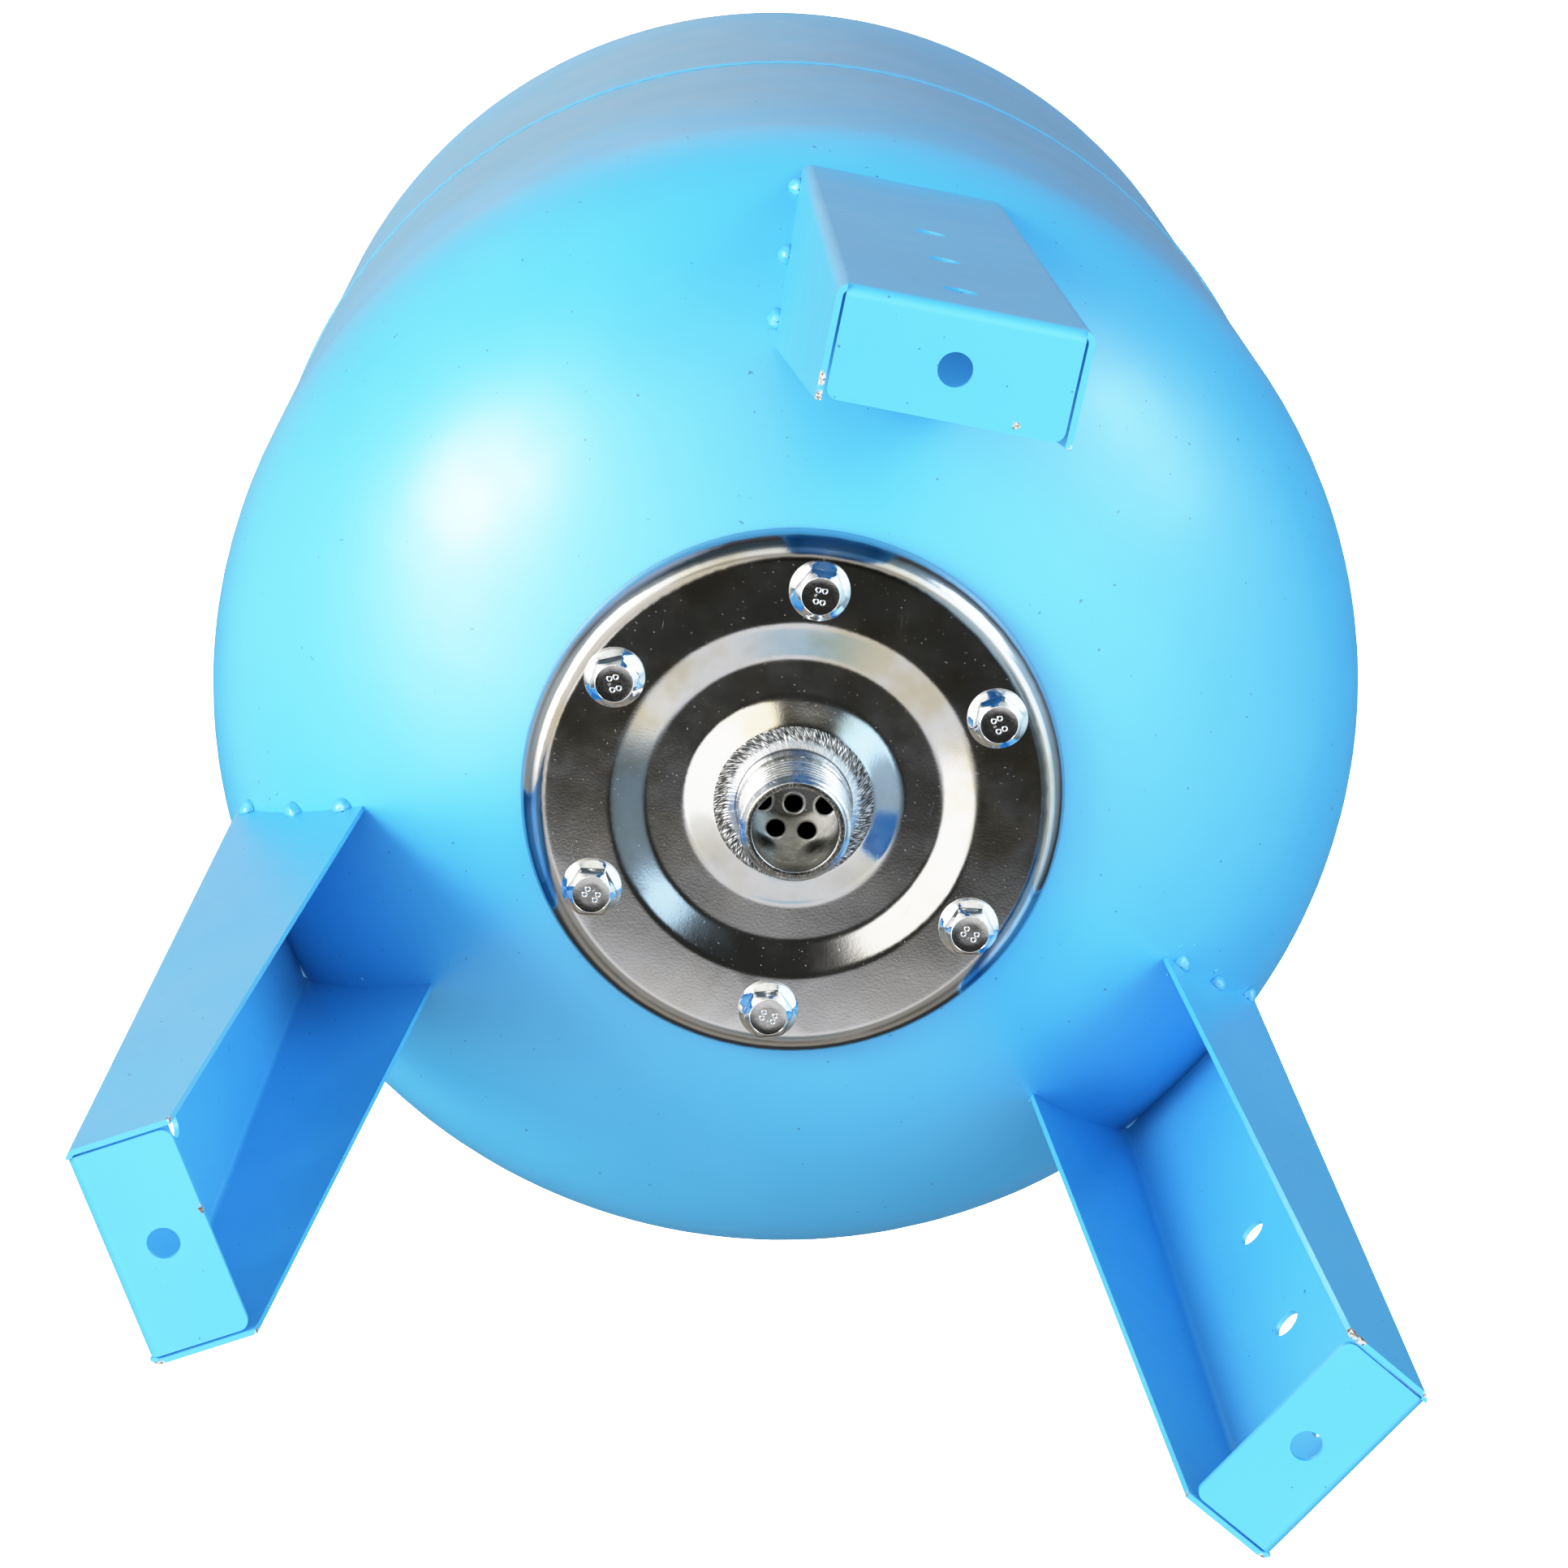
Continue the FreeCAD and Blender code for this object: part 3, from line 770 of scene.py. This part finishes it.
def makeGirthWeld(look):
    low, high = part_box("girth_weld")
    middle = (low.z + high.z) / 2.0 / mm
    wall = high.x / mm - 0.8
    bm = bmesh.new()
    ripples = round(2.0 * math.pi * wall / look["rippleLength"])

    def ring(share):
        across = 2.0 * share - 1.0

        def at(turn):
            crown = 1.0 - across * across
            ripple = math.sin(ripples * turn + 0.91 * crown * math.pi)
            wander = look["wander"] * noise.noise(Vector((math.cos(turn) * 5.0, math.sin(turn) * 5.0, 0.0)))
            rise = look["height"] * crown + look["rippleHeight"] * ripple * crown * 0.5
            height = middle + look["halfWidth"] * across + wander * crown
            return (wall + min(rise, look["mostHeight"]), height)

        return at

    ringStack(bm, [ring(k / look["rows"]) for k in range(look["rows"] + 1)], look["segments"])
    newPiece("rippledGirthWeld", bm, finishes["tank"], node="girth_weld", sharp=80.0)


makeGirthWeld(girthLook)
print("girth weld made")


# Legs: the bent sheets with softened cut edges, painted lighter partly as thin worn paint and partly as a
# painted highlight

legLook = {
    "edgeRound": 0.34,
    "edgeAngle": 42.0,
    "beadSwell": 0.45,
    "spatterCount": 16,
    "spatterReach": 6.0,
    "spatterSizes": [0.35, 0.4, 0.5, 0.8],
}


def makeLegSheet(number, look):
    node = "leg_%d" % number
    bm = nodeMesh(node)
    bmesh.ops.dissolve_limit(bm, angle_limit=math.radians(0.6), verts=bm.verts[:], edges=bm.edges[:])
    limit = math.radians(look["edgeAngle"])
    sharp = [e for e in bm.edges if len(e.link_faces) == 2 and e.calc_face_angle(0.0) > limit]
    made = bmesh.ops.bevel(bm, geom=sharp, offset=look["edgeRound"] * mm, offset_type="OFFSET", segments=2,
                           profile=0.5, affect="EDGES", clamp_overlap=True)
    markFaces(bm, "cutEdge", made["faces"])
    piece = newPiece("bentLeg%d" % number, bm, finishes["leg"], node=node, sharp=35.0)
    shadeEvenly(piece)


def makeTacks(number, look):
    node = "leg_welds_%d" % number
    bm = nodeMesh(node)
    bm.normal_update()
    for v in bm.verts:
        lump = noise.noise(v.co / (2.6 * mm)) + 0.5 * noise.noise(v.co / (1.2 * mm))
        v.co += v.normal * look["beadSwell"] * mm * lump
    newPiece("tackBeads%d" % number, bm, finishes["leg"], node=node, sharp=60.0)


def makeSpatter(number, look):
    chance = random.Random(40 + number)
    head = BVHTree.FromObject(nodes["lower_shell"], bpy.context.evaluated_depsgraph_get())
    beads = [v.co.copy() for v in nodes["leg_welds_%d" % number].data.vertices]
    reach = look["spatterReach"]
    bm = bmesh.new()
    for _ in range(look["spatterCount"]):
        near = chance.choice(beads)
        x = near.x + chance.uniform(-reach, reach) * mm
        y = near.y + chance.uniform(-reach, reach) * mm
        spot = Vector((x, y, 0.1))
        hit, normal = head.ray_cast(spot, Vector((0, 0, 1)))[:2]
        if hit is None:
            continue
        size = chance.choice(look["spatterSizes"]) * mm
        place = Matrix.Translation(hit) @ normal.to_track_quat("Z", "Y").to_matrix().to_4x4()
        place = place @ Matrix.Diagonal((1, 1, 0.6, 1))
        bmesh.ops.create_icosphere(bm, subdivisions=2, radius=size, matrix=place)
    newPiece("weldSpatter%d" % number, bm, finishes["leg"], sharp=80.0)


for number in range(1, 4):
    makeLegSheet(number, legLook)
    makeTacks(number, legLook)
    makeSpatter(number, legLook)
print("legs made")


# Air valve: the threaded stem

stemLook = {
    "across": 15.0,
    "hexHeight": 5.0,
    "stemHeight": 16.0,
    "radius": 3.85,
    "pitch": 0.794,
    "depth": 0.35,
    "boreRadius": 2.6,
    "boreDepth": 15.5,
    "airRadius": 1.8,
    "shankRadius": 5.0,
    "rowStep": 0.1,
    "segments": 96,
}


def makeValveStem(look):
    low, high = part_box("valve_stem")
    foot = low.z / mm
    tip = high.z / mm
    hexTop = tip - look["stemHeight"]
    hexFoot = hexTop - look["hexHeight"]
    bm = bmesh.new()

    def hexRing(inset, z):
        return lambda turn: (hexReach(look["across"], turn) - inset, z)

    def stemRing(height):
        def at(turn):
            phase = ((tip - height) / look["pitch"] + turn / (2.0 * math.pi)) % 1.0
            fade = smoothStep(height, hexTop + 1.2, hexTop + 2.0)
            fade *= 1.0 - smoothStep(height, tip - 0.9, tip - 0.3)
            chamfer = max(0.0, 0.5 - (tip - height))
            return (look["radius"] - chamfer - look["depth"] * fade * (1.0 - abs(2.0 * phase - 1.0)), height)

        return at

    rings = [
        plainRing(look["airRadius"], foot),
        plainRing(look["shankRadius"] - 0.4, foot),
        plainRing(look["shankRadius"], foot + 0.4),
        plainRing(look["shankRadius"], hexFoot),
        hexRing(0.5, hexFoot),
        hexRing(0.1, hexFoot + 0.25),
        hexRing(0.0, hexFoot + 0.6),
        hexRing(0.0, hexTop - 0.9),
        hexRing(0.25, hexTop - 0.4),
        hexRing(0.9, hexTop - 0.05),
        plainRing(6.4, hexTop),
        plainRing(look["radius"] + 0.3, hexTop),
        plainRing(look["radius"], hexTop + 0.3),
    ]
    rows = int((tip - hexTop - 0.6) / look["rowStep"])
    rings += [stemRing(hexTop + 0.6 + look["rowStep"] * k) for k in range(rows)]
    rings += [
        plainRing(look["radius"] - 0.5, tip),
        plainRing(look["boreRadius"] + 0.2, tip),
        plainRing(look["boreRadius"], tip - 0.2),
        plainRing(look["boreRadius"], tip - look["boreDepth"]),
        plainRing(look["airRadius"], tip - look["boreDepth"]),
    ]
    ringStack(bm, rings, look["segments"], closed=True)
    newPiece("threadedValveStem", bm, finishes["brass"], node="valve_stem", sharp=35.0)


makeValveStem(stemLook)
print("valve stem made")


# Valve spring: a copy of the CAD node's turns, joined up where points meet


def makeSpring():
    bm = nodeMesh("valve_spring", 0.001)
    piece = newPiece("pressedSpring", bm, finishes["spring"], node="valve_spring",
                     sharp=50.0)
    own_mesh(piece)


makeSpring()
print("valve spring made")


# Finishes of the CAD nodes, by the start of their names

nodeFinishes = {
    "lower_shell": "tank",
    "upper_shell": "tank",
    "girth_weld": "tank",
    "neck_ring": "ring",
    "bladder": "rubber",
    "counterflange": "flange",
    "flange_bolt": "bolt",
    "connection_nipple": "nipple",
    "nipple_weld": "weld",
    "leg": "leg",
    "valve_boss": "tank",
    "valve_seal": "seal",
    "valve_stem": "brass",
    "valve_core": "brass",
    "valve_pin": "brass",
    "valve_spring": "spring",
    "valve_cap": "cap",
}
for name, solid in nodes.items():
    for start, finish in nodeFinishes.items():
        if name.startswith(start):
            wearFinish(solid, finishes[finish])
print("nodes dressed")


# Stage: a pale floor that is seen from above only, and the studio light as a sky of soft cards

stageLook = {
    "floorSize": 24.0,
    "floorDrop": 0.4 * mm,
    "floorTone": rgb(0.80, 0.80, 0.80),
    "floorPatch": rgb(0.84, 0.84, 0.84),
    "floorLift": 0.25,
    "topLight": 2.4,
    "topLightFrom": (0.25, 0.40, 0.88),
    "topLightSpread": 50.0,
    "backdrop": 4.0,
}


def makeFloor(look):
    p = newPaint("paleFloor")
    plain = p.node("ShaderNodeBsdfDiffuse", inputs={"Color": look["floorTone"]})
    patch = p.node("ShaderNodeBsdfDiffuse", inputs={"Color": look["floorPatch"]})
    matt = p.node("ShaderNodeMixShader", inputs={0: p.grain(0.5, 2.0, 0.5), 1: plain, 2: patch})
    lift = p.node("ShaderNodeEmission", inputs={"Color": look["floorTone"], "Strength": look["floorLift"]})
    pale = p.node("ShaderNodeAddShader", inputs={0: matt, 1: lift})
    clear = p.node("ShaderNodeBsdfTransparent")
    under = p.node("ShaderNodeNewGeometry", output=6)
    seen = p.node("ShaderNodeMixShader", inputs={0: under, 1: pale, 2: clear})
    p.node("ShaderNodeOutputMaterial", inputs={"Surface": seen})
    bm = bmesh.new()
    bmesh.ops.create_grid(bm, x_segments=1, y_segments=1, size=look["floorSize"] / 2.0)
    mesh = bpy.data.meshes.new("floor")
    bm.to_mesh(mesh)
    bm.free()
    floor = bpy.data.objects.new("floor", mesh)
    floor.location = (0.0, 0.0, -look["floorDrop"])
    mesh.materials.append(p.holder)
    bpy.context.scene.collection.objects.link(floor)
    floor.visible_shadow = False
    floor.visible_diffuse = False
    floor.visible_glossy = False
    floor.visible_transmission = False


# Cards below the tank: middle and half size across x and y of the direction, soft edge, colour
studioCards = [
    {"middle": (-0.30, 0.08), "half": (0.20, 0.36), "soft": 0.03, "tone": (2.2, 2.15, 2.05)},
    {"middle": (0.08, 0.545), "half": (0.27, 0.29), "soft": 0.05, "tone": (0.96, 0.96, 0.98)},
    {"middle": (0.12, 0.62), "half": (0.09, 0.06), "soft": 0.05, "tone": (0.52, 0.72, 0.86)},
    {"middle": (0.40, 0.12), "half": (0.23, 0.24), "soft": 0.04, "tone": (0.13, 0.18, 0.23)},
    {"middle": (0.34, -0.10), "half": (0.11, 0.185), "soft": 0.03, "tone": (0.95, 1.35, 1.7)},
    {"middle": (0.070, 0.046), "half": (0.175, 0.289), "soft": 0.035, "tone": (0.023, 0.023, 0.020)},
]
# Soft lobes: direction, half angles of the core and the edge in degrees, colour that is added
studioLobes = [
    {"towards": (-0.787, -0.263, -0.558), "core": 4.0, "edge": 13.5, "tone": (23.0, 22.0, 21.0)},
    {"towards": (-0.74, 0.10, -0.665), "core": 3.0, "edge": 15.0, "tone": (7.0, 6.8, 6.6)},
    {"towards": (0.67, -0.67, -0.30), "core": 4.0, "edge": 17.0, "tone": (6.0, 6.2, 6.4)},
    {"towards": (-0.92, 0.29, 0.26), "core": 10.0, "edge": 38.0, "tone": (0.72, 0.74, 0.76)},
    {"towards": (-0.05, -0.38, 0.92), "core": 8.0, "edge": 40.0, "tone": (0.32, 0.20, 0.08)},
    {"towards": (-0.45, -0.25, 0.86), "core": 8.0, "edge": 36.0, "tone": (0.58, 0.40, 0.22)},
    {"towards": (-0.78, -0.56, 0.28), "core": 9.0, "edge": 26.0, "tone": (0.50, 0.64, 0.88)},
    {"towards": (0.88, -0.22, -0.42), "core": 10.0, "edge": 55.0, "tone": (0.60, 0.84, 1.02)},
    {"towards": (0.70, -0.62, -0.34), "core": 10.0, "edge": 42.0, "tone": (0.52, 0.72, 0.92)},
    {"towards": (-0.82, -0.12, -0.52), "core": 10.0, "edge": 42.0, "tone": (1.20, 1.18, 1.12)},
]
studioBase = {
    "below": rgb(1.28, 1.27, 1.22),
    "side": rgb(0.12, 0.17, 0.21),
    "far": rgb(0.38, 0.35, 0.30),
    "above": rgb(0.10, 0.10, 0.11),
}


def makeSky(base, cards, lobes, look):
    world = bpy.data.worlds.new("studioSky")
    bpy.context.scene.world = world
    p = Paint(world)
    towards = p.node("ShaderNodeTexCoord")
    x, y, z = p.parts(towards)
    below = p.spread(z, 0.08, -0.08)
    steep = p.spread(z, -0.30, -0.90)
    glow = p.mix(steep, base["side"], base["below"])
    glow = p.mix(p.spread(y, 0.45, 0.95), glow, base["far"])
    glow = p.mix(below, base["above"], glow)
    for card in cards:
        wide = p.node("ShaderNodeMath", {"operation": "ABSOLUTE"}, {0: x - card["middle"][0]})
        deep = p.node("ShaderNodeMath", {"operation": "ABSOLUTE"}, {0: y - card["middle"][1]})
        inX = p.spread(wide, card["half"][0] + card["soft"], card["half"][0] - card["soft"])
        inY = p.spread(deep, card["half"][1] + card["soft"], card["half"][1] - card["soft"])
        glow = p.mix(inX * inY * below, glow, rgb(*card["tone"]))
    for lobe in lobes:
        aim = Vector(lobe["towards"]).normalized()
        facing = p.node("ShaderNodeVectorMath", {"operation": "DOT_PRODUCT"}, {0: towards, 1: aim}, output=1)
        weight = p.spread(facing, math.cos(math.radians(lobe["edge"])), math.cos(math.radians(lobe["core"])))
        glow = p.mix(weight, glow, rgb(*lobe["tone"]), "ADD")
    light = p.node("ShaderNodeBackground", inputs={"Color": glow, "Strength": 1.0})
    white = p.node("ShaderNodeBackground", inputs={"Color": rgb(1, 1, 1), "Strength": look["backdrop"]})
    direct = p.node("ShaderNodeLightPath")
    both = p.node("ShaderNodeMixShader", inputs={0: direct, 1: light, 2: white})
    p.node("ShaderNodeOutputWorld", inputs={"Surface": both})
    world.cycles.sampling_method = "MANUAL"
    world.cycles.sample_map_resolution = 1024


def makeTopLight(look):  # soft light from above, which no metal reflects
    data = bpy.data.lights.new("topLight", "SUN")
    data.energy = look["topLight"]
    data.angle = math.radians(look["topLightSpread"])
    light = bpy.data.objects.new("topLight", data)
    light.rotation_euler = Vector(look["topLightFrom"]).to_track_quat("Z", "Y").to_euler()
    light.visible_glossy = False
    bpy.context.scene.collection.objects.link(light)


makeFloor(stageLook)
makeSky(studioBase, studioCards, studioLobes, stageLook)
makeTopLight(stageLook)


# Camera, below the tank and looking up at its connection

cameraLook = {
    "place": (-0.09124876, -0.33647451, -0.90251924),
    "right": (0.97977636, -0.19929699, -0.01786069),
    "up": (-0.185024, -0.936347, 0.298364),
    "lens": 89.546,
    "sensor": 36.0,
}


def makeCamera(look):
    data = bpy.data.cameras.new("underCamera")
    camera = bpy.data.objects.new("underCamera", data)
    bpy.context.scene.collection.objects.link(camera)
    right = Vector(look["right"])
    up = Vector(look["up"])
    back = right.cross(up)
    turn = Matrix((right, up, back)).transposed().to_4x4()
    camera.matrix_world = Matrix.Translation(look["place"]) @ turn
    data.lens = look["lens"]
    data.sensor_width = look["sensor"]
    data.sensor_fit = "AUTO"
    data.clip_start = 0.01
    bpy.context.scene.camera = camera


makeCamera(cameraLook)


# Display: plain colours with a soft shoulder, so that highlights don't clip hard

toneLook = {"reach": 2.4, "curve": [(0.35, 0.35), (0.70, 0.69), (1.0, 0.89), (1.4, 0.972), (2.0, 1.0)]}


def setTone(look):
    view = bpy.context.scene.view_settings
    view.view_transform = "Standard"
    view.look = "None"
    view.use_curve_mapping = True
    reach = look["reach"]
    view.curve_mapping.white_level = (reach, reach, reach)
    view.curve_mapping.extend = "HORIZONTAL"
    curve = view.curve_mapping.curves[3]
    for level, shown in look["curve"]:
        curve.points.new(level / reach, shown)
    view.curve_mapping.update()


setTone(toneLook)
print("stage, light and camera made")
